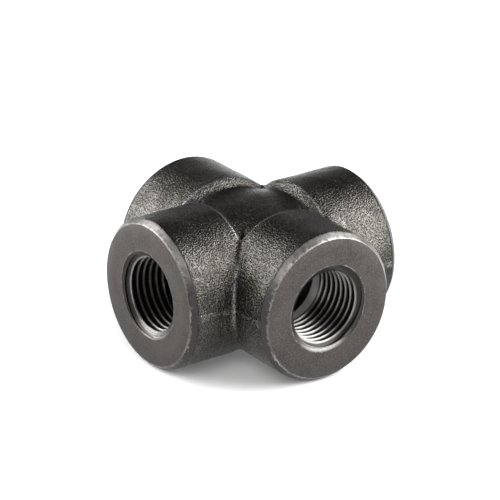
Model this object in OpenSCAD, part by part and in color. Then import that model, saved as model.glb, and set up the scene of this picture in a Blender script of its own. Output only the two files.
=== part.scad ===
// Cross fitting for 1/2 inch pipe: four equal outlets in one plane, each with an
// internal taper pipe thread. One forging, bored through from all four ends.
// The origin is where the outlet axes cross. The outlets lie along X and Y, +Z is up.

/* [Overall] */
// Centre of the fitting to each end face
centre_to_end = 31; // [26:0.5:40]
// Outside diameter of the band round each outlet
band_d = 38; // [36:0.5:46]

/* [Band] */
// Length of each band along its axis, from the end face to the shoulder
band_length = 18.5; // [16:0.5:21]
// Rim chamfer, measured along the axis
rim_chamfer_length = 1.6; // [0.5:0.1:3]
// Rim chamfer, measured radially
rim_chamfer_depth = 1.3; // [0.5:0.1:3]

/* [Centre body] */
// Outside diameter of the smaller body between the bands
centre_d = 33.8; // [29:0.2:35]
// Length of the sloping shoulder from a band down to the centre body
shoulder_length = 2.3; // [1:0.1:4]

/* [Bore] */
// Diameter of the plain bore that joins the outlets
bore_d = 17.5; // [14:0.1:18]

/* [Thread] */
// Threads in each inch (25.4 mm) of length
threads_per_inch = 14; // [11.5, 14, 18]
// Diameter over the thread's crests at the end face
thread_minor_d = 18.32; // [18:0.01:22]
// Radial height of the thread
thread_height = 1.45; // [1:0.05:1.8]
// Taper of the thread, in diameter for each millimetre of depth
thread_taper = 0.0625; // [0:0.0025:0.08]
// Depth of the threaded zone from the end face
thread_length = 15; // [11:0.5:18]
// Width of each thread groove where it opens at the crests
groove_opening = 0.45; // [0.3:0.01:0.48]
// Width of each thread groove at its root
groove_root = 0.15; // [0.1:0.01:0.25]
// Plain crest between the countersink and the first groove
first_crest = 0.35; // [0.2:0.05:1]
// Least plain crest left after the last groove
last_crest = 1; // [0.5:0.1:2]
// How far the countersink's mouth stands outside the thread's root, radially
mouth_margin = 0.4; // [0.2:0.05:1.5]

/* [Forging line] */
// Thickness of the trimmed flash round the forging, along Z
flash_thickness = 1.6; // [0.8:0.1:3]
// How far the trimmed flash stands proud of the bands
flash_height = 0.25; // [0.1:0.05:0.6]

/* [Quality] */
// Facets in a full turn, for the preview only
$fn = 96; // [32:8:160]

/* [Hidden] */

band_r = band_d / 2;
centre_r = centre_d / 2;
bore_r = bore_d / 2;
shoulder_start = centre_to_end - band_length;
shoulder_end = shoulder_start - shoulder_length;
flash_reach = centre_to_end - rim_chamfer_length;

pitch = 25.4 / threads_per_inch;
crest_r = thread_minor_d / 2;
mouth_r = crest_r + thread_height + mouth_margin;
// The crests taper inwards until they meet the plain bore
function crest_at(depth) = max(crest_r - depth * thread_taper / 2, bore_r);
function root_at(depth) = crest_r + thread_height - depth * thread_taper / 2;
// The countersink is a 45 degree cone, so it is as deep as it is wide
countersink = mouth_r - crest_r;
first_groove = countersink + first_crest + groove_opening / 2;
groove_span = thread_length - last_crest - groove_opening / 2 - first_groove;
grooves = floor(groove_span / pitch) + 1;

overcut = 1;
steel = "#4a4846";
cut_steel = "#77726e";

// A solid of revolution about X from points written as [distance along X, radius]
module turned(points) {
    rotate([0, 90, 0]) rotate_extrude() polygon([for (p = points) [p[1], p[0]]]);
}

// Puts something made along +X onto one of the four outlets, counted from +X towards +Y
module on_outlet(quarter) {
    rotate([0, 0, 90 * quarter]) children();
}

// Half of a straight run: band, rim chamfer, shoulder and centre body, out to +X
half_run = [
    [0, centre_r],
    [shoulder_end, centre_r],
    [shoulder_start, band_r],
    [centre_to_end - rim_chamfer_length, band_r],
    [centre_to_end, band_r - rim_chamfer_depth],
];

// A straight run is the half run and its mirror image, closed along the axis
module run() {
    count = len(half_run);
    turned([
        [-centre_to_end, 0],
        for (i = [count - 1:-1:1]) [-half_run[i][0], half_run[i][1]],
        for (i = [1:count - 1]) half_run[i],
        [centre_to_end, 0],
    ]);
}

// The trimmed flash that follows the outline of one run at mid height
module flash() {
    cube([2 * flash_reach, 2 * (band_r + flash_height), flash_thickness], center = true);
}

// The two runs crossing at right angles, bored through, with a seat for each threaded zone
module cross_body() {
    color(steel) difference() {
        union() {
            for (quarter = [0, 1]) on_outlet(quarter) {
                run();
                flash();
            }
        }
        for (quarter = [0, 1]) on_outlet(quarter)
            rotate([0, 90, 0]) cylinder(r = bore_r, h = 2 * centre_to_end + overcut, center = true);
        for (quarter = [0:3]) on_outlet(quarter)
            translate([centre_to_end - thread_length, 0, 0]) rotate([0, 90, 0])
                cylinder(r = mouth_r, h = thread_length + overcut);
    }
}

// Corners of one groove at this depth below the end face, from its outer edge inwards
function groove(depth) = [
    [depth - groove_opening / 2, crest_at(depth - pitch / 2)],
    [depth - groove_root / 2, root_at(depth)],
    [depth + groove_root / 2, root_at(depth)],
    [depth + groove_opening / 2, crest_at(depth + pitch / 2)],
];

// One threaded zone: countersink, then crests that step inwards with the taper
module thread() {
    corners = [for (i = [0:grooves - 1]) each groove(first_groove + i * pitch)];
    first = corners[0];
    last = corners[len(corners) - 1];
    depths = [
        [0, mouth_r],
        [mouth_r - first[1], first[1]],
        each corners,
        [thread_length, last[1]],
        [thread_length, mouth_r],
    ];
    turned([for (p = depths) [centre_to_end - p[0], p[1]]]);
}

module right_thread() { color(cut_steel) on_outlet(0) thread(); }
module back_thread() { color(cut_steel) on_outlet(1) thread(); }
module left_thread() { color(cut_steel) on_outlet(2) thread(); }
module front_thread() { color(cut_steel) on_outlet(3) thread(); }

cross_body();
right_thread();
back_thread();
left_thread();
front_thread();
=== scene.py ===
import math
import bmesh
import bpy
import numpy as np
from mathutils import Matrix, Vector


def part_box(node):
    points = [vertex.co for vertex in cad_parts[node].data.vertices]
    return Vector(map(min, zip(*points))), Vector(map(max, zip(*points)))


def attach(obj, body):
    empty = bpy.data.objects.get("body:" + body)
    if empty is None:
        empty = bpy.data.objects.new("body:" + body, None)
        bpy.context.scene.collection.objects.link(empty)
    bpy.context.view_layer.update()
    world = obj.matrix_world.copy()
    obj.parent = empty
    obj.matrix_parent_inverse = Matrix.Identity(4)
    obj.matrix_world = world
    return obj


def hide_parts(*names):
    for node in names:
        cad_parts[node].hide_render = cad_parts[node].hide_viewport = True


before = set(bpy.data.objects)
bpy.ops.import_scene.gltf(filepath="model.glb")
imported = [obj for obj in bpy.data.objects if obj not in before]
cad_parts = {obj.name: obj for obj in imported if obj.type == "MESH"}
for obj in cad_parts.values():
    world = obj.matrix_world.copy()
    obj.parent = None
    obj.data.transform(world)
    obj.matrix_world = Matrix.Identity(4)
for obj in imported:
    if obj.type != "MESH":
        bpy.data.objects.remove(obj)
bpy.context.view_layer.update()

mm = 0.001
inch = 25.4 * mm

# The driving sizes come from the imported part
bodyLow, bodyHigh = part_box("cross_body")
zoneLow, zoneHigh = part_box("right_thread")
reach = bodyHigh.x                      # centre to an end face
bandRadius = -bodyLow.z
mouthRadius = zoneHigh.y                # edge of the countersink on the face
threadDepth = zoneHigh.x - zoneLow.x

# Outlets in order, a quarter turn apart, counted from +X towards +Y
outlets = ("right", "back", "left", "front")

grid = {
    "fineSteps": 9,                     # columns close to mid height, where the flash line is
    "fineSpan": math.radians(5.5),
    "coarseSteps": 33,                  # columns from there up to the top
    "halvings": 30,                     # of a bracket, when a radius is solved
    "weld": 0.002 * mm,
    "nearNought": 1e-6,
}


# The lower of two values, eased over a band as wide as "blend" where they cross
def smoothMin(first, second, blend):
    ease = np.maximum(blend - np.abs(first - second), 0)
    return np.minimum(first, second) - ease**2 / (4 * blend)


# The higher of two values, eased the same way
def smoothMax(first, second, blend):
    return -smoothMin(-first, -second, blend)


# 0 below "low", 1 above "high", and an S curve between them
def smoothStep(value, low, high):
    share = np.clip((value - low) / (high - low), 0, 1)
    return share * share * (3 - 2 * share)


# Sum of sine waves in seeded random directions, scaled to run from about 0 to 1
def waves(points, wavelength, count, seed):
    slowest, fastest = 0.7, 1.4         # pace of a wave against the usual one
    headroom = 1.6                      # the sum seldom passes this many times its usual size
    draw = np.random.default_rng(seed)
    heading = draw.normal(size=(count, 3))
    heading /= np.linalg.norm(heading, axis=1)[:, None]
    pace = draw.uniform(slowest, fastest, count) / wavelength * 2 * np.pi
    shift = draw.uniform(0, 2 * np.pi, count)
    total = np.zeros(points.shape[:-1])
    for wave in range(count):
        total += np.sin(points @ heading[wave] * pace[wave] + shift[wave])
    return 0.5 + 0.5 * np.clip(total / (headroom * math.sqrt(count)), -1, 1)


# A point "along" an outlet's axis, "across" it and "up", turned to where that outlet is
def placed(quarter, along, across, up):
    turn = quarter * math.pi / 2
    along, across, up = np.broadcast_arrays(along, across, up)
    return np.stack([
        along * math.cos(turn) - across * math.sin(turn),
        along * math.sin(turn) + across * math.cos(turn),
        up,
    ], -1)


# Angles round an outlet: a quarter turn with fine steps near mid height and coarse steps
# above, then the same mirrored, then both again half a turn on
def roundAngles():
    quarter = np.concatenate([
        np.linspace(0, grid["fineSpan"], grid["fineSteps"], endpoint=False),
        np.linspace(grid["fineSpan"], math.pi / 2, grid["coarseSteps"] + 1),
    ])
    half = np.concatenate([quarter, math.pi - quarter[-2:0:-1]])
    return np.concatenate([half, half + math.pi])


# Quads between neighbouring rows and columns; a closed grid joins its last column to its first
def gridFaces(rows, columns, closed, start=0):
    spans = columns if closed else columns - 1
    row, column = np.meshgrid(np.arange(rows - 1), np.arange(spans), indexing="ij")
    following = (column + 1) % columns
    corners = np.stack([
        row * columns + column,
        row * columns + following,
        (row + 1) * columns + following,
        (row + 1) * columns + column,
    ], -1)
    return corners.reshape(-1, 4) + start


# Makes the mesh, welds its doubles, turns its faces outwards and marks its sharp edges
def makePiece(name, points, faces, sharpAngle):
    mesh = bpy.data.meshes.new(name)
    mesh.from_pydata(points.reshape(-1, 3), [], faces)
    solid = bmesh.new()
    solid.from_mesh(mesh)
    bmesh.ops.remove_doubles(solid, verts=solid.verts, dist=grid["weld"])
    bmesh.ops.recalc_face_normals(solid, faces=solid.faces)
    solid.to_mesh(mesh)
    solid.free()
    mesh.polygons.foreach_set("use_smooth", np.ones(len(mesh.polygons), bool))
    mesh.set_sharp_from_angle(angle=math.radians(sharpAngle))
    piece = bpy.data.objects.new(name, mesh)
    bpy.context.scene.collection.objects.link(piece)
    print("made", name, "with", len(mesh.polygons), "faces")
    return piece


angles = roundAngles()


# Waves are given as wavelength, how many, and seed
forging = {
    "bandLength": 18.5 * mm,            # from the end face to the shoulder
    "shoulderLength": 2.3 * mm,
    "centreRadius": 16.9 * mm,
    "boreRadius": 8.75 * mm,
    "rimLength": 1.6 * mm,              # chamfer along the axis
    "rimDepth": 1.3 * mm,               # chamfer measured radially
    "shoulderRounding": 0.55 * mm,
    "rampFillet": 0.55 * mm,
    "valleyFillet": 1.3 * mm,           # between two bands
    "valleyFrom": 17.5 * mm,            # and this far out or further
    "saddleFillet": 4.5 * mm,           # on the centre body
    "saddleTo": 10 * mm,                # and no further out than this
    "edgeBreak": 0.12 * mm,             # tiny rounding left on the cut edges
    "flashThickness": 1.6 * mm,
    "flashHeight": 0.25 * mm,
    "flashEdge": (0.15 * mm, 0.2 * mm),  # its side slopes from inside to outside its edge
    "flashStray": 0.5 * mm,             # how far the edges wander
    "strayWaves": (4 * mm, 6, 21),
    "flashRagged": 0.55,                # share of its height that comes and goes
    "raggedWaves": (3 * mm, 6, 22),
    "lumpDepth": 0.14 * mm,             # long waves of the forged skin
    "lumpWaves": (9 * mm, 9, 11),
    "rippleDepth": 0.05 * mm,           # short waves of the forged skin
    "rippleWaves": (2.6 * mm, 14, 12),
    "radiusWithin": (12 * mm, 30 * mm),  # every radius of the skin lies between these
    "sharpAngle": 30,
    "valleyRows": 22,                   # rows of the grid in each span
    "shoulderRows": 20,
    "bandRows": 30,
    "rimRows": 14,
    "boreRows": 8,
    "pastValley": 0.9 * mm,             # room that the close rows give each feature
    "beforeShoulder": 0.9 * mm,
    "pastFillet": 3.6 * mm,
    "pastShoulder": 0.8 * mm,
    "beforeRim": 0.7 * mm,
    "easeBetween": 1 * mm,
}

shoulderAt = reach - forging["bandLength"]
faceRadius = bandRadius - forging["rimDepth"]
coneSlope = forging["rimDepth"] / forging["rimLength"]


# Radius of a straight run: the band, a ramp down from the shoulder, then the centre body
def runRadius(along):
    slope = (bandRadius - forging["centreRadius"]) / forging["shoulderLength"]
    ramp = bandRadius + (np.abs(along) - shoulderAt) * slope
    lower = smoothMax(ramp, forging["centreRadius"], forging["rampFillet"])
    return smoothMin(lower, bandRadius, forging["shoulderRounding"])


# How far the trimmed flash stands out: a strip at mid height, ragged along its length
def flashRise(points):
    half = forging["flashThickness"] / 2
    inside, outside = forging["flashEdge"]
    stray = forging["flashStray"] * (waves(points, *forging["strayWaves"]) - 0.5)
    strip = 1 - smoothStep(np.abs(points[..., 2]) + stray, half - inside, half + outside)
    ragged = forging["flashRagged"] * waves(points, *forging["raggedWaves"])
    return strip * forging["flashHeight"] * (1 - forging["flashRagged"] + ragged)


# How far the forged skin lies below its nominal surface: long waves and short ones
def skinDrop(points):
    lumps = waves(points, *forging["lumpWaves"]) * forging["lumpDepth"]
    ripples = waves(points, *forging["rippleWaves"]) * forging["rippleDepth"]
    return lumps + ripples


# Distance outside the forging: the smooth least of the distances from the two crossing runs
def skinGap(points):
    x, y, z = points[..., 0], points[..., 1], points[..., 2]
    change = skinDrop(points) - flashRise(points)
    runX = np.hypot(y, z) - runRadius(x) + change
    runY = np.hypot(x, z) - runRadius(y) + change
    outwards = smoothStep(np.hypot(x, y), forging["saddleTo"], forging["valleyFrom"])
    saddle = forging["saddleFillet"]
    return smoothMin(runX, runY, saddle + (forging["valleyFillet"] - saddle) * outwards)


# Halves a bracket again and again until it closes on the radius where the gap is nought
def solveRadius(gapAt, low, high):
    for _ in range(grid["halvings"]):
        middle = (low + high) / 2
        outside = gapAt(middle) > 0
        high = np.where(outside, middle, high)
        low = np.where(outside, low, middle)
    return (low + high) / 2


# Rows of (along, radius) over one outlet, from the valley between two outlets to the rim.
# Each column's knots lie past the valley, past the shoulder, before the rim and on the end
# face, and its rows share out the spans between them. The radius is the skin's, or that of
# the rim's chamfer where that is less.
def skinRows(quarter):
    across, up = np.cos(angles), np.sin(angles)
    lean = np.abs(across)
    least, most = forging["radiusWithin"]
    onValley = solveRadius(
        lambda radius: skinGap(placed(quarter, radius * lean, radius * across, radius * up)),
        np.full(angles.shape, least), np.full(angles.shape, most))
    start = onValley * lean
    rampFoot = shoulderAt - forging["shoulderLength"]
    pastValley = smoothMax(
        start + forging["pastValley"], rampFoot - forging["beforeShoulder"],
        forging["easeBetween"])
    pastShoulder = smoothMax(
        start + forging["pastFillet"], shoulderAt + forging["pastShoulder"],
        forging["easeBetween"])
    beforeRim = reach - forging["rimLength"] - forging["beforeRim"]
    knots = [
        (start, forging["valleyRows"]),
        (pastValley, forging["shoulderRows"]),
        (pastShoulder, forging["bandRows"]),
        (np.full(start.shape, beforeRim), forging["rimRows"]),
        (np.full(start.shape, reach - forging["edgeBreak"]), 0),
    ]
    spans = []
    for (begin, steps), (end, _) in zip(knots[:-1], knots[1:]):
        share = np.arange(steps)[:, None] / steps
        spans.append(begin + (end - begin) * share)
    spans.append(knots[-1][0][None, :])
    along = np.concatenate(spans)
    leaning = lean > grid["nearNought"]
    limit = np.where(leaning, np.minimum(along / np.where(leaning, lean, 1), most), most)
    radius = solveRadius(
        lambda trial: skinGap(placed(quarter, along, trial * across, trial * up)),
        np.full(along.shape, least), limit)
    cone = faceRadius + (reach - along) * coneSlope
    return along, smoothMin(radius, cone, forging["edgeBreak"])


# Rows of the cut surfaces: end face, seat of the threaded zone, and the bore, which ends
# where it meets the crossing bore, at its radius times the lean of the column
def cutRows():
    lean = np.abs(np.cos(angles))
    seat = reach - threadDepth
    bore = forging["boreRadius"]
    edge = forging["edgeBreak"]
    tuck = 0.3 * edge                   # middle of the rounding on the rim's edge
    corners = [
        (reach - tuck, faceRadius - tuck),
        (reach, faceRadius - edge),
        (reach, (faceRadius + mouthRadius) / 2),
        (reach, mouthRadius),
        (seat, mouthRadius),
        (seat, bore),
    ]
    along = [np.full(angles.shape, corner[0]) for corner in corners]
    radius = [np.full(angles.shape, corner[1]) for corner in corners]
    for share in np.linspace(0, 1, forging["boreRows"] + 1)[1:]:
        along.append(seat + (bore * lean - seat) * share)
        radius.append(np.full(angles.shape, bore))
    return np.array(along), np.array(radius)


# The skin and the cut surfaces of each outlet in turn; the valleys and bores weld together
def makeForging():
    allPoints, allFaces = [], []
    cutAlong, cutRadius = cutRows()
    for quarter in range(len(outlets)):
        skinAlong, skinRadius = skinRows(quarter)
        along = np.concatenate([skinAlong, cutAlong])
        radius = np.concatenate([skinRadius, cutRadius])
        points = placed(quarter, along, radius * np.cos(angles), radius * np.sin(angles))
        allPoints.append(points.reshape(-1, 3))
        allFaces.append(gridFaces(*along.shape, closed=True, start=quarter * along.size))
    return makePiece("forged_body", np.concatenate(allPoints), np.concatenate(allFaces),
                     forging["sharpAngle"])


thread = {
    "pitch": inch / 14,
    "crestRadius": 9.16 * mm,           # at the end face
    "height": 1.56 * mm,
    "taper": 1 / 32,                    # the radius lost for each unit of depth
    "crestFlat": 0.08,                  # half width of the crest, as a share of the pitch
    "rootFlat": 0.03,
    "flankRows": 4,
    "runOut": 1.4 * mm,                 # the last groove fades over this depth
    "plainEnd": 0.1 * mm,               # and is gone this far before the end
    "countersink": 0.70,                # its depth for each unit of radius
    "tearing": 0.05 * mm,               # roughness of the crests
    "tearWaves": (1.8 * mm, 8, 31),     # wavelength, how many, and seed
    "tearRadius": 10 * mm,              # the waves are read on a cylinder of this radius
    "firstCrest": {"right": 1.6, "back": 1.1, "left": 1.8, "front": 0.75},  # depth in mm
    "sharpAngle": 28,
}


# Helical grid: each column is turned a little round the bore and set a little less deep than
# the one before, by one pitch a turn, so every crest is a row. The radius is a 60 degree V
# between crest and root, never inside the plain bore nor inside the countersink's cone.
def threadSurface(name):
    columns = np.append(angles, 2 * math.pi)
    pitch = thread["pitch"]
    crest, root = thread["crestFlat"], thread["rootFlat"]
    flank = np.linspace(crest, 0.5 - root, thread["flankRows"])
    turn = np.concatenate([[0], flank, [0.5], 1 - flank[::-1]])
    turns = math.ceil(threadDepth / pitch) + 3
    place = (np.arange(turns)[:, None] - 1 + turn[None, :]).reshape(-1, 1)
    phase = np.abs((place + 0.5) % 1 - 0.5)
    depth = (place - columns[None, :] / (2 * math.pi)) * pitch
    depth = depth + thread["firstCrest"][name] * mm
    depth = np.clip(depth, 0, threadDepth)
    rise = np.clip((phase - crest) / (0.5 - crest - root), 0, 1)
    fade = 1 - smoothStep(depth, threadDepth - thread["runOut"], threadDepth - thread["plainEnd"])
    spin = np.stack(np.broadcast_arrays(
        np.cos(columns) * thread["tearRadius"], np.sin(columns) * thread["tearRadius"], depth), -1)
    torn = thread["tearing"] * waves(spin, *thread["tearWaves"]) * (1 - rise)
    crestLine = np.maximum(thread["crestRadius"] - depth * thread["taper"], forging["boreRadius"])
    rootLine = thread["crestRadius"] + thread["height"] - depth * thread["taper"]
    radius = crestLine + torn * fade + (rootLine - crestLine) * rise * fade
    radius = np.maximum(radius, mouthRadius - depth / thread["countersink"])
    return columns, depth, radius


# The helical surface, closed by an inner end and by the cylinder that sits in the body
def makeThread(quarter, name):
    columns, depth, radius = threadSurface(name)
    wall = np.full((2, len(columns)), mouthRadius)
    ends = np.array([[threadDepth], [0]]) * np.ones(len(columns))
    depth = np.concatenate([depth, ends])
    radius = np.concatenate([radius, wall])
    points = placed(quarter, reach - depth, radius * np.cos(columns), radius * np.sin(columns))
    faces = gridFaces(*depth.shape, closed=False)
    return makePiece(name + "_pipe_thread", points, faces, thread["sharpAngle"])


# A shader socket: arithmetic on it adds Math nodes
class Wire:
    def __init__(self, shader, socket):
        self.shader = shader
        self.socket = socket

    def __add__(self, other): return self.shader.math("ADD", self, other)
    def __radd__(self, other): return self.shader.math("ADD", other, self)
    def __sub__(self, other): return self.shader.math("SUBTRACT", self, other)
    def __rsub__(self, other): return self.shader.math("SUBTRACT", other, self)
    def __mul__(self, other): return self.shader.math("MULTIPLY", self, other)
    def __rmul__(self, other): return self.shader.math("MULTIPLY", other, self)
    def __truediv__(self, other): return self.shader.math("DIVIDE", self, other)
    def __rtruediv__(self, other): return self.shader.math("DIVIDE", other, self)
    def __abs__(self): return self.shader.math("ABSOLUTE", self)
    def least(self, other): return self.shader.math("MINIMUM", self, other)
    def most(self, other): return self.shader.math("MAXIMUM", self, other)
    def root(self): return self.shader.math("SQRT", self)
    def clamped(self): return self.most(0).least(1)

    # 0 below "low" and 1 above "high", in a straight line between them
    def step(self, low, high):
        return ((self - low) / (high - low)).clamped()


# The nodes of one material or of the surroundings
class Shader:
    def __init__(self, owner):
        owner.use_nodes = True
        self.owner = owner
        self.tree = owner.node_tree
        self.tree.nodes.clear()

    # Adds a node: its type, its settings, then values or wires for its sockets
    def add(self, kind, settings=None, inputs=None, output=0):
        node = self.tree.nodes.new(kind)
        for name, value in (settings or {}).items():
            setattr(node, name, value)
        for name, value in (inputs or {}).items():
            if isinstance(value, Wire):
                self.tree.links.new(value.socket, node.inputs[name])
            else:
                node.inputs[name].default_value = value
        return Wire(self, node.outputs[output]) if node.outputs else None

    # One Math node on numbers and wires
    def math(self, operation, *values):
        return self.add("ShaderNodeMath", {"operation": operation}, dict(enumerate(values)))

    # A vector taken apart into its three numbers
    def apart(self, vector):
        return [self.add("ShaderNodeSeparateXYZ", inputs={0: vector}, output=part)
                for part in range(3)]

    # The place on the object in millimetres, as a vector and as three numbers
    def place(self):
        coords = self.add("ShaderNodeTexCoord", output=3)
        inMillimetres = self.add("ShaderNodeVectorMath", {"operation": "SCALE"},
                                 {0: coords, "Scale": 1 / mm})
        return inMillimetres, self.apart(inMillimetres)

    # Distances from the place to the outlets: "out" along the nearest outlet's axis, "across"
    # along the other one, and "around", the distance from the nearest axis
    def outletPlace(self, x, y, z):
        out = abs(x).most(abs(y))
        across = abs(x).least(abs(y))
        return out, across, (across * across + z * z).root()

    # Smooth random values round 0.5, "size" millimetres from one to the next
    def noise(self, place, size, detail, roughness):
        return self.add("ShaderNodeTexNoise", {"noise_dimensions": "3D"},
                        {"Vector": place, "Scale": 1 / size, "Detail": detail,
                         "Roughness": roughness})

    # The same along one number, so that it makes rings when that is a distance from an axis
    def rings(self, number, density, detail):
        return self.add("ShaderNodeTexNoise", {"noise_dimensions": "1D"},
                        {"W": number, "Scale": density, "Detail": detail})

    # From the first colour to the second as the share goes from 0 to 1
    def mix(self, share, first, second):
        return self.add("ShaderNodeMix", {"data_type": "RGBA"}, {0: share, 6: first, 7: second},
                        output=2)

    # A metal surface, with the height as its bump
    def finish(self, colour, roughness, metallic, height, settings):
        bump = self.add("ShaderNodeBump", inputs={
            "Height": height, "Distance": settings["bumpDistance"]})
        surface = self.add("ShaderNodeBsdfPrincipled", inputs={
            "Base Color": colour, "Roughness": roughness, "Normal": bump,
            "Metallic": metallic, "Specular IOR Level": settings["specular"],
        })
        self.add("ShaderNodeOutputMaterial", inputs={"Surface": surface})
        return self.owner


# A noise is given as size in millimetres, detail and roughness. A pair is where a mask
# starts to rise and where it is full, in the noise's own value or in millimetres.
skinFinish = {
    "dark": (0.024, 0.022, 0.018, 1),
    "light": (0.148, 0.142, 0.135, 1),
    # bare metal on cut edges and flash line, also painted highlight on shoulder and valleys
    "bareAndHighlight": (0.36, 0.35, 0.34, 1),
    "face": (0.052, 0.047, 0.044, 1),
    "faceStain": (0.038, 0.034, 0.032, 1),
    "faceSpeck": (0.100, 0.093, 0.088, 1),
    "chamfer": (0.034, 0.032, 0.030, 1),
    # painted light on the upper side of the chamfers
    "chamferPaintedLight": (0.130, 0.125, 0.120, 1),
    "nearBlack": (0.010, 0.010, 0.009, 1),  # black: a line under the chamfer, and painted shade high in the valleys
    "bore": (0.75, 0.73, 0.71, 1),      # bright ring behind the thread
    # painted shade deep inside the bore
    "boreDeepShade": (0.010, 0.010, 0.009, 1),
    "grain": (0.40, 1.0, 0.5),
    "fine": (0.28, 1.0, 0.5),
    "coarse": (1.1, 3.0, 0.6),
    "blotch": (7.0, 3.0, 0.55),
    "pitDensity": 1.6,                  # pits in each millimetre
    "turning": (7.0, 3.0),              # rings of the cut faces in each millimetre, and detail
    "metallic": 0.90,
    "boreMetallic": 0.35,
    "specular": 0.5,
    "skinRoughness": 0.28,
    "cutRoughness": 0.48,
    "boreRoughness": 0.38,
    "bumpDistance": 1 * mm,             # so that heights are in millimetres
    "grainHeight": 0.22,
    "coarseHeight": 0.05,
    "pitDepth": 0.012,
    "turningHeight": 0.006,
    "cutHeight": 0.026,
    "coneHeight": 0.03,                 # the chamfer is this much coarser
    "raisedSmoother": 0.04,
    "blotchRougher": 0.2,
    "coneSmoother": 0.1,
    "faceDepth": (0.01, 0.05),          # below the end face
    "coneDepth": (0.05, 0.12),          # below the chamfer's surface
    "boreAround": (12.5, 12.8),         # from an outlet's axis
    "boreShadeEnds": (13.2, 13.6),          # where the bore's painted shade ends, from the centre of the fitting
    "raised": (0.38, 0.66),             # tops of the grain, lighter as rubbed metal and as a painted highlight
    "raisedWhere": (0.25, 0.8),
    "pitted": (0.05, 0.35),
    "stained": (0.35, 0.7),
    "specked": (0.46, 0.72),
    "speckShare": 0.6,
    "paintedLightUp": (2, 15),                # chamfers get painted light on their upper side
    "paintedTopLight": (0.3, 0.7),
    "paintedLightLeast": 0.4,
    "cornerStart": (0.08, 0.16),        # black line where the skin meets the chamfer
    "cornerEnd": (0.3, 0.5),
    "cornerDepth": (2.1, 2.4),
    "cornerBlackShare": 0.8,
    "valleyWidth": (0.25, 0.7),         # valley between two outlets
    "valleyOut": (8, 10),
    "valleyShadeFrom": (9, 12),              # where it is painted black as shade
    "valleyShadeShare": 0.8,
    "valleyHighlightMiddle": 3,                  # where a highlight is painted on it, and how far up and down
    "valleyHighlightReach": (5, 9),
    "valleyHighlightPatches": (0.38, 0.6),
    "valleyHighlightShare": 0.35,
    "shoulderShift": 0.15,              # worn line along the edge of the shoulder, also a painted highlight
    "shoulderLine": (0.12, 0.4),
    "shoulderDepth": (0.4, 0.6),        # below the band's surface
    "shoulderWearAndHighlight": 0.5,
    "chipped": (0.36, 0.66),            # the worn edges of the face are as wide as their chips
    "speckled": (0.40, 0.60),
    "speckledLeast": 0.3,
    "speckledMore": 0.6,
    "patchy": (0.42, 0.58),
    "patchyLeast": 0.35,
    "rimChips": 0.5,
    "rimLeast": 0.06,
    "rimShift": 0.2,
    "rimDepth": (0.8, 0.9),
    "mouthChips": 0.4,
    "mouthLeast": 0.05,
    "flashStray": 2,                    # worn flash line
    "flashLine": (0.3, 0.8),
    "flashWorn": (0.42, 0.6),
    "flashWear": 0.5,
}


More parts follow.
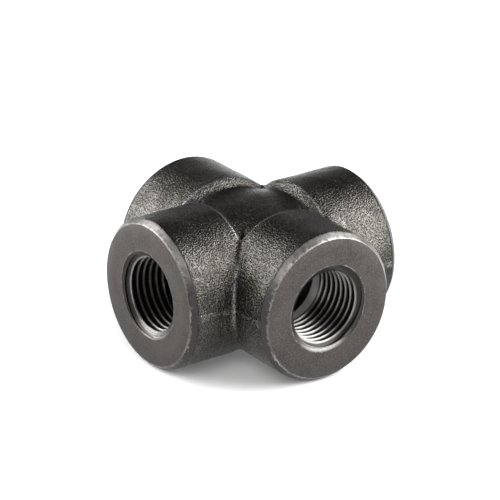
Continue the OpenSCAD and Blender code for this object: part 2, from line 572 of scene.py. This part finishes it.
# Black forged skin, with machined faces and chamfers told apart by where they lie. A mask is
# 1 on its own surface and 0 elsewhere. Every length is in millimetres, and "depth" is how far
# in from the nearest end face.
def makeSkinMaterial():
    shader = Shader(bpy.data.materials.new("forged_steel_skin"))
    place, (x, y, z) = shader.place()
    out, across, around = shader.outletPlace(x, y, z)
    end, band, rim, mouth = reach / mm, bandRadius / mm, faceRadius / mm, mouthRadius / mm
    depth = end - out
    coneGap = depth * coneSlope + rim - around
    onFace = 1 - depth.step(*skinFinish["faceDepth"])
    onCone = (1 - coneGap.step(*skinFinish["coneDepth"])) * (1 - onFace)
    inBore = (1 - around.step(*skinFinish["boreAround"])) * (1 - onFace)
    cut = onFace.most(onCone).most(inBore)

    grain = shader.noise(place, *skinFinish["grain"])
    fine = shader.noise(place, *skinFinish["fine"])
    coarse = shader.noise(place, *skinFinish["coarse"])
    blotch = shader.noise(place, *skinFinish["blotch"])
    pits = shader.add("ShaderNodeTexVoronoi", {"feature": "F1"},
                      {"Vector": place, "Scale": skinFinish["pitDensity"]})
    turning = shader.rings(around, *skinFinish["turning"])
    raised = grain.step(*skinFinish["raised"])
    chips = coarse.step(*skinFinish["chipped"])

    # The four surfaces: skin, face, chamfer with patchy painted light on its upper side, and
    # bore, with painted shade deep inside and bright near the thread
    # grain tops lighter: rubbed metal and a painted highlight
    lit = raised * blotch.step(*skinFinish["raisedWhere"])
    skin = shader.mix(lit, skinFinish["dark"], skinFinish["light"])
    stain = blotch.step(*skinFinish["stained"])
    face = shader.mix(stain, skinFinish["face"], skinFinish["faceStain"])
    specks = fine.step(*skinFinish["specked"]) * skinFinish["speckShare"]
    face = shader.mix(specks, face, skinFinish["faceSpeck"])
    # painted light on the chamfer's upper side, in patches
    paintedTopLight = (skinFinish["paintedLightLeast"] + coarse.step(*skinFinish["paintedTopLight"])).clamped()
    paintedTopLight = paintedTopLight * z.step(*skinFinish["paintedLightUp"])
    chamfer = shader.mix(paintedTopLight, skinFinish["chamfer"], skinFinish["chamferPaintedLight"])
    # painted shade deep inside the bore, giving way to the bright ring near the thread
    nearThread = out.step(*skinFinish["boreShadeEnds"])
    bore = shader.mix(nearThread, skinFinish["boreDeepShade"], skinFinish["bore"])
    colour = shader.mix(cut, skin, face)
    colour = shader.mix(onCone, colour, chamfer)
    colour = shader.mix(inBore, colour, bore)

    # Black line in the corner under the chamfer, and painted shade high in the valleys
    corner = coneGap.step(*skinFinish["cornerStart"])
    corner = corner * (1 - coneGap.step(*skinFinish["cornerEnd"]))
    corner = corner * (1 - depth.step(*skinFinish["cornerDepth"])) * (1 - onFace)
    colour = shader.mix(corner * skinFinish["cornerBlackShare"], colour, skinFinish["nearBlack"])
    valley = 1 - (out - across).step(*skinFinish["valleyWidth"])
    valley = valley * out.step(*skinFinish["valleyOut"])
    valleyShade = valley * z.step(*skinFinish["valleyShadeFrom"])
    colour = shader.mix(valleyShade * skinFinish["valleyShadeShare"], colour, skinFinish["nearBlack"])

    # Bare metal on both edges of the face and on the flash line; bare metal and a painted
    # highlight on the shoulder's edge, and a painted highlight at mid height in the valleys
    fromShoulder = abs(out - shoulderAt / mm - skinFinish["shoulderShift"])
    onShoulder = 1 - fromShoulder.step(*skinFinish["shoulderLine"])
    onShoulder = onShoulder * (1 - (band - around).step(*skinFinish["shoulderDepth"]))
    fromRim = abs(around - rim - chips * skinFinish["rimShift"])
    rimEdge = (1 - fromRim / (chips * skinFinish["rimChips"] + skinFinish["rimLeast"])).clamped()
    rimEdge = rimEdge * (1 - depth.step(*skinFinish["rimDepth"]))
    mouthWidth = chips * skinFinish["mouthChips"] + skinFinish["mouthLeast"]
    mouthEdge = (1 - abs(around - mouth) / mouthWidth).clamped() * onFace * chips
    patches = blotch.step(*skinFinish["patchy"])
    patches = skinFinish["patchyLeast"] + (1 - skinFinish["patchyLeast"]) * patches
    speckle = fine.step(*skinFinish["speckled"])
    speckles = skinFinish["speckledLeast"] + skinFinish["speckledMore"] * speckle
    cutEdges = rimEdge.most(mouthEdge) * speckles * patches
    fromFlash = abs(z + (coarse - 0.5) * skinFinish["flashStray"])
    flashLine = (1 - fromFlash.step(*skinFinish["flashLine"])) * (1 - cut)
    flashLine = flashLine * coarse.step(*skinFinish["flashWorn"]) * speckle
    # painted highlight on the fillet at mid height in the valleys, in patches
    valleyHighlight = 1 - abs(z - skinFinish["valleyHighlightMiddle"]).step(*skinFinish["valleyHighlightReach"])
    valleyHighlight = valleyHighlight * valley * coarse.step(*skinFinish["valleyHighlightPatches"])
    wearAndHighlights = (onShoulder * skinFinish["shoulderWearAndHighlight"]).most(cutEdges)
    wearAndHighlights = wearAndHighlights.most(flashLine * skinFinish["flashWear"])
    wearAndHighlights = wearAndHighlights.most(valleyHighlight * skinFinish["valleyHighlightShare"])
    colour = shader.mix(wearAndHighlights, colour, skinFinish["bareAndHighlight"])

    skinRoughness = skinFinish["skinRoughness"] - raised * skinFinish["raisedSmoother"]
    cutRoughness = (skinFinish["cutRoughness"] + (blotch - 0.5) * skinFinish["blotchRougher"]
                    - onCone * skinFinish["coneSmoother"])
    roughness = skinRoughness * (1 - cut) + cut * cutRoughness
    roughness = roughness * (1 - inBore) + inBore * skinFinish["boreRoughness"]
    lessMetallic = skinFinish["metallic"] - skinFinish["boreMetallic"]
    metallic = skinFinish["metallic"] - inBore * nearThread * lessMetallic

    pitted = 1 - pits.step(*skinFinish["pitted"])
    skinHeight = (grain * skinFinish["grainHeight"]
                  + coarse * skinFinish["coarseHeight"]
                  - pitted * skinFinish["pitDepth"])
    cutHeight = (turning * skinFinish["turningHeight"]
                 + fine * (skinFinish["cutHeight"] + onCone * skinFinish["coneHeight"]))
    height = skinHeight * (1 - cut) + cutHeight * cut * (1 - inBore)
    return shader.finish(colour, roughness, metallic, height, skinFinish)


# A noise is given as size in millimetres, detail and roughness
threadFinish = {
    "steel": (0.26, 0.25, 0.24, 1),
    "oil": (0.024, 0.023, 0.021, 1),
    "seat": (0.036, 0.034, 0.032, 1),   # countersink at the mouth, painted dark as a dark reflection
    # painted highlight on the lower side of the countersink
    "seatHighlight": (0.120, 0.115, 0.110, 1),
    "film": (2.2, 3.0, 0.6),
    "marks": (0.25, 2.0, 0.6),
    "turning": (2.6, 2.0),              # rings of the countersink in each millimetre, and detail
    "metallic": 0.95,
    "specular": 0.5,
    "roughness": 0.24,
    "filmRoughness": 0.14,
    "seatRoughness": 0.05,
    "bumpDistance": 1 * mm,             # so that heights are in millimetres
    "markHeight": 0.010,
    "seatHeight": 0.02,
    "sunk": (0.05, 0.75),               # below the crests
    "sunkOil": 1.3,                     # oil gathers in the roots
    "filmOil": 0.7,
    "oilLess": 0.25,
    "seatDepth": (0.04, 0.12),          # from the countersink's cone
    "seatHighlightDown": (2, 9),                # the countersink gets a painted highlight on its lower side
    "turned": (0.38, 0.58),
    "turnedLeast": 0.2,
    "marked": (0.35, 0.6),
    "markedLeast": 0.4,
    "markedMore": 0.9,
}


# Cut thread under a film of oil: bright crests, dark roots, and a countersink painted dark
# as a dark reflection, with a painted highlight in rings on its lower side
def makeThreadMaterial():
    shader = Shader(bpy.data.materials.new("cut_thread_steel"))
    place, (x, y, z) = shader.place()
    out, _, around = shader.outletPlace(x, y, z)
    crest = (thread["crestRadius"] - reach * thread["taper"]) / mm + out * thread["taper"]
    sunk = (around - crest).step(*threadFinish["sunk"])
    film = shader.noise(place, *threadFinish["film"])
    marks = shader.noise(place, *threadFinish["marks"])
    oily = (sunk * threadFinish["sunkOil"] + film * threadFinish["filmOil"]
            - threadFinish["oilLess"]).clamped()
    colour = shader.mix(oily, threadFinish["steel"], threadFinish["oil"])

    coneGap = around + (reach / mm - out) / thread["countersink"] - mouthRadius / mm
    onSeat = 1 - abs(coneGap).step(*threadFinish["seatDepth"])
    turning = shader.rings(around, *threadFinish["turning"]).step(*threadFinish["turned"])
    turning = threadFinish["turnedLeast"] + (1 - threadFinish["turnedLeast"]) * turning
    marked = marks.step(*threadFinish["marked"])
    marked = threadFinish["markedLeast"] + threadFinish["markedMore"] * marked
    # painted highlight in rings on the lower side of the countersink
    seatHighlightMask = (0 - z).step(*threadFinish["seatHighlightDown"]) * turning * marked
    seat = shader.mix(seatHighlightMask, threadFinish["seat"], threadFinish["seatHighlight"])
    # the countersink's colour: painted dark as a dark reflection, with the painted highlight below
    colour = shader.mix(onSeat, colour, seat)

    roughness = (threadFinish["roughness"] + film * threadFinish["filmRoughness"]
                 + onSeat * threadFinish["seatRoughness"])
    height = marks * (threadFinish["markHeight"] + onSeat * threadFinish["seatHeight"])
    return shader.finish(colour, roughness, threadFinish["metallic"], height, threadFinish)


skinMaterial = makeSkinMaterial()
threadMaterial = makeThreadMaterial()
print("finishes ready")

body = makeForging()
body.data.materials.append(skinMaterial)
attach(body, "root")
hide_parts("cross_body")

for quarter, name in enumerate(outlets):
    piece = makeThread(quarter, name)
    piece.data.materials.append(threadMaterial)
    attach(piece, "root")
    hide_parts(name + "_thread")


studio = {
    "floorSize": 12.0,
    "floorColour": (0.76, 0.76, 0.76, 1),
    "floorRoughness": 0.7,
    "floorSpecular": 0.2,
    "floorGlow": 0.13,                  # a light table, so that shadows stay pale
    "farGlow": 0.75,                    # and it is as pale a long way off
    "farFrom": (350, 1000),             # in millimetres
    "horizon": 0.7,                     # brightness of the surroundings at floor level
    "overhead": 0.045,                  # and from a little way up
    "overheadFrom": (0.05, 0.35),       # sines of the angles between which it falls
    "softboxes": {                      # azimuth and elevation, size in metres, cloth's brightness
        "left_softbox": (-50, 26, (0.62, 0.72), 9.2),
        "right_softbox": (141, 28, (1.05, 0.66), 9.8),
        "front_softbox": (40, 42, (0.50, 0.40), 5.0),
        "top_softbox": (50, 82, (0.50, 0.50), 0.8),
    },
    "softboxDistance": 0.8,
}


# Direction from the middle of the object: azimuth 0 is towards -Y and 90 towards +X
def bearing(azimuth, elevation):
    turn, lift = math.radians(azimuth), math.radians(elevation)
    return Vector((
        math.sin(turn) * math.cos(lift), -math.cos(turn) * math.cos(lift), math.sin(lift)))


# A square as low as the bands, whose glow rises with the distance from the fitting
def makeFloor():
    half = studio["floorSize"] / 2
    mesh = bpy.data.meshes.new("floor")
    corners = [(x * half, y * half, -bandRadius) for x, y in ((-1, -1), (1, -1), (1, 1), (-1, 1))]
    mesh.from_pydata(corners, [], [(0, 1, 2, 3)])
    floor = bpy.data.objects.new("floor", mesh)
    bpy.context.scene.collection.objects.link(floor)
    shader = Shader(bpy.data.materials.new("white_floor"))
    _, (x, y, _) = shader.place()
    away = (x * x + y * y).root().step(*studio["farFrom"])
    near, far = [(glow, glow, glow, 1) for glow in (studio["floorGlow"], studio["farGlow"])]
    surface = shader.add("ShaderNodeBsdfPrincipled", inputs={
        "Base Color": studio["floorColour"], "Roughness": studio["floorRoughness"],
        "Specular IOR Level": studio["floorSpecular"],
        "Emission Color": shader.mix(away, near, far), "Emission Strength": 1})
    shader.add("ShaderNodeOutputMaterial", inputs={"Surface": surface})
    mesh.materials.append(shader.owner)


# Each softbox faces the fitting; its power is pi times its area times its brightness
def makeLights():
    for name, (azimuth, elevation, (width, height), glow) in studio["softboxes"].items():
        lamp = bpy.data.lights.new(name, "AREA")
        lamp.shape = "RECTANGLE"
        lamp.size, lamp.size_y = width, height
        lamp.energy = glow * math.pi * width * height
        holder = bpy.data.objects.new(name, lamp)
        heading = bearing(azimuth, elevation)
        holder.location = heading * studio["softboxDistance"]
        holder.rotation_euler = heading.to_track_quat("Z", "Y").to_euler()
        bpy.context.scene.collection.objects.link(holder)


# Surroundings: bright at the level of the floor, darker above
def makeSurroundings():
    shader = Shader(bpy.data.worlds.new("studio"))
    _, _, upwards = shader.apart(shader.add("ShaderNodeTexCoord"))
    above = upwards.step(*studio["overheadFrom"])
    strength = studio["horizon"] + above * (studio["overhead"] - studio["horizon"])
    background = shader.add("ShaderNodeBackground", inputs={"Strength": strength})
    shader.add("ShaderNodeOutputWorld", inputs={"Surface": background})
    bpy.context.scene.world = shader.owner


cameraPlace = {
    "azimuth": 53.66,
    "elevation": 23.46,
    "roll": 0.56,
    "distance": 0.739,
    "lens": 216.3,
    "sensor": 36,
    "clipStart": 10 * mm,
    "aimRight": -0.37 * mm,             # where the lens axis passes the middle of the fitting
    "aimUp": 3.91 * mm,
}


# Looks along its bearing, turned by the roll, and is moved sideways and up in its own plane
def makeCamera():
    back = bearing(cameraPlace["azimuth"], cameraPlace["elevation"])
    level = Vector((0, 0, 1)).cross(back).normalized()
    upright = back.cross(level)
    roll = math.radians(cameraPlace["roll"])
    right = level * math.cos(roll) + upright * math.sin(roll)
    up = upright * math.cos(roll) - level * math.sin(roll)
    lens = bpy.data.cameras.new("camera")
    lens.lens = cameraPlace["lens"]
    lens.sensor_width = cameraPlace["sensor"]
    lens.clip_start = cameraPlace["clipStart"]
    camera = bpy.data.objects.new("camera", lens)
    camera.matrix_world = Matrix((right, up, back)).transposed().to_4x4()
    camera.location = (back * cameraPlace["distance"] + right * cameraPlace["aimRight"]
                       + up * cameraPlace["aimUp"])
    bpy.context.scene.collection.objects.link(camera)
    bpy.context.scene.camera = camera


makeFloor()
makeLights()
makeSurroundings()
makeCamera()
bpy.context.scene.view_settings.view_transform = "Standard"
print("studio ready")
